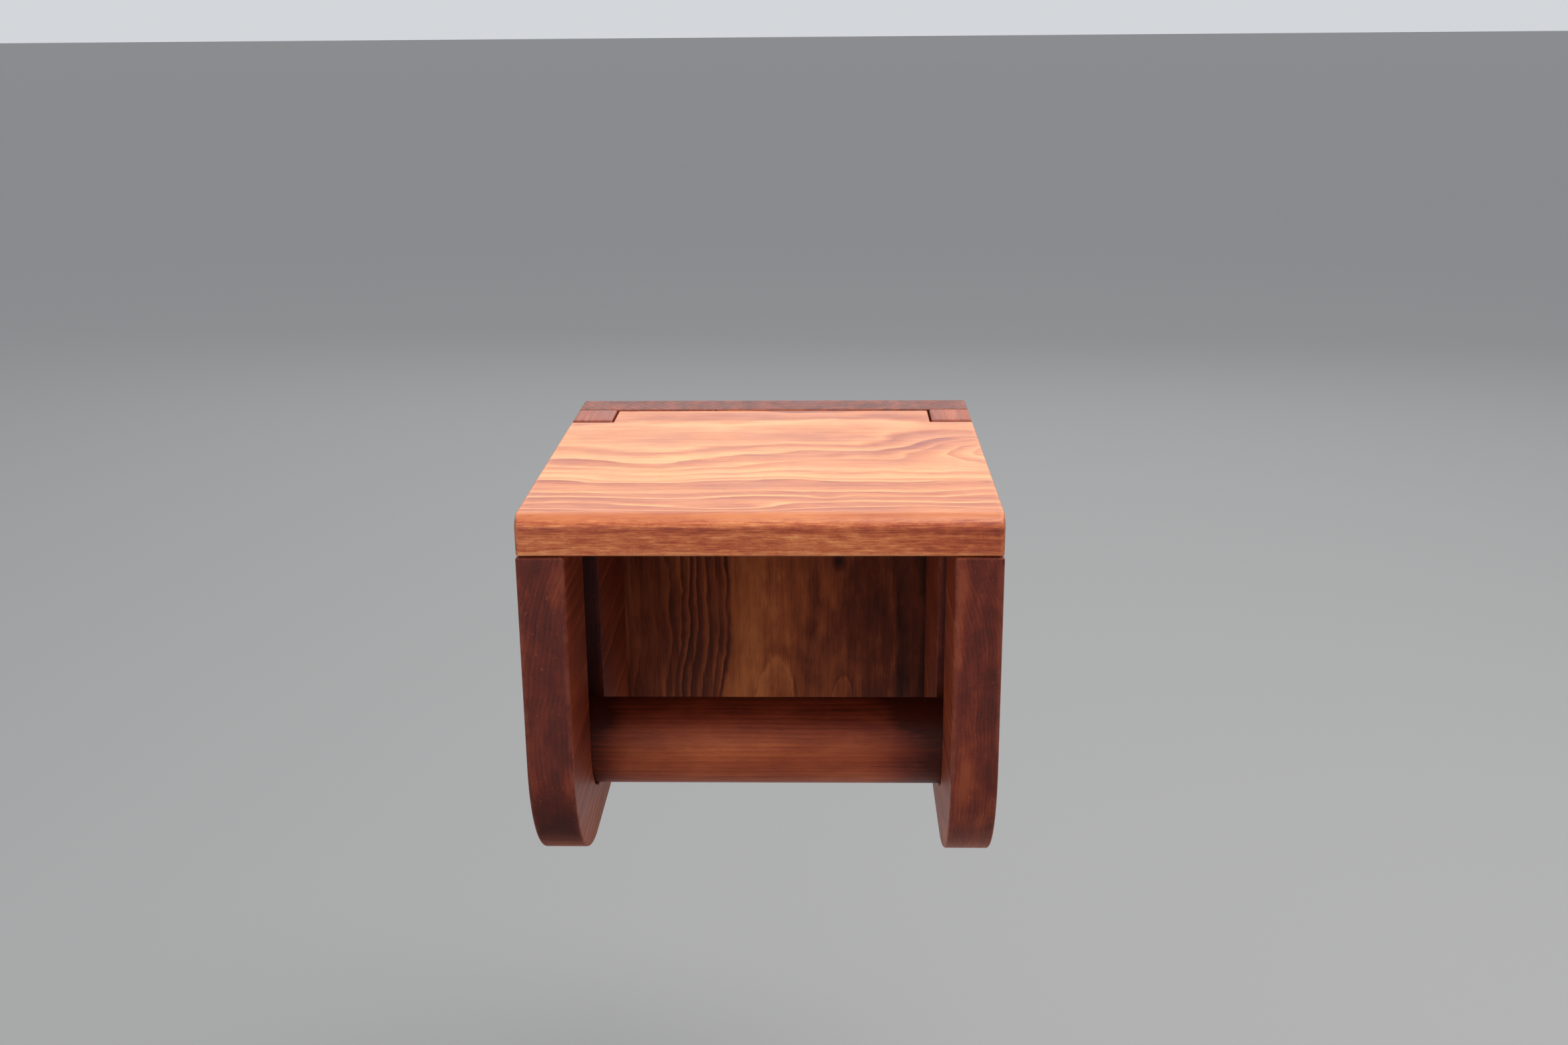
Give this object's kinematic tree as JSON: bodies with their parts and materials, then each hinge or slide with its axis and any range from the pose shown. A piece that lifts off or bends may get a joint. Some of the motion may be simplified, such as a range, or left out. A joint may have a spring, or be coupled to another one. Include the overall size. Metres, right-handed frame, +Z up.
{
  "type": "toilet paper holder",
  "caption": "Wall-hung wooden toilet paper holder: side cheeks on a back plate, a lift-up lid on hinge pins and a loose round roller that drops into guide grooves.",
  "frame": {"origin": "middle of the back plate's rear face, which lies against the wall", "axes": "+Y points into the wall, +Z is up, +X is to the right of someone facing the holder; the object's front faces -Y"},
  "size_m": [0.16, 0.171, 0.138],
  "materials": {
    "stained_wood_back": "satin red-brown stained pine, vertical grain",
    "stained_wood_cheek": "satin red-brown stained pine, upright grain, darker end grain",
    "stained_wood_lid": "satin red-brown stained pine, grain across the width",
    "stained_wood_roller": "satin red-brown stained dowel, grain along its length",
    "steel_pin": "plain drawn steel",
    "yellow_zinc_screw": "yellow zinc plated",
    "zinc_plate": "bright zinc plated pressed steel",
    "zinc_screw": "bright zinc plated"
  },
  "bodies": {
    "frame": {"back_plate": "stained_wood_back", "left_cheek": "stained_wood_cheek", "right_cheek": "stained_wood_cheek", "left_hinge_pin": "steel_pin", "right_hinge_pin": "steel_pin", "left_cheek_screw_upper": "yellow_zinc_screw", "left_cheek_screw_lower": "yellow_zinc_screw", "right_cheek_screw_upper": "yellow_zinc_screw", "right_cheek_screw_lower": "yellow_zinc_screw", "left_keyhole_plate": "zinc_plate", "right_keyhole_plate": "zinc_plate", "left_keyhole_screw_upper": "zinc_screw", "left_keyhole_screw_lower": "zinc_screw", "right_keyhole_screw_upper": "zinc_screw", "right_keyhole_screw_lower": "zinc_screw"},
    "lid": {"lid": "stained_wood_lid"},
    "roller": {"roller": "stained_wood_roller"}
  },
  "joints": [
    {"name": "lid_hinge", "type": "hinge", "parent": "frame", "child": "lid", "pos_m": [0, -0.0279, 0.0623], "axis": [-1, 0, 0], "range_deg": [0, 98]},
    {"name": "roller_lift", "type": "slide", "parent": "frame", "child": "roller", "axis": [0, 0, 1], "range_m": [0, 0.074]}
  ]
}
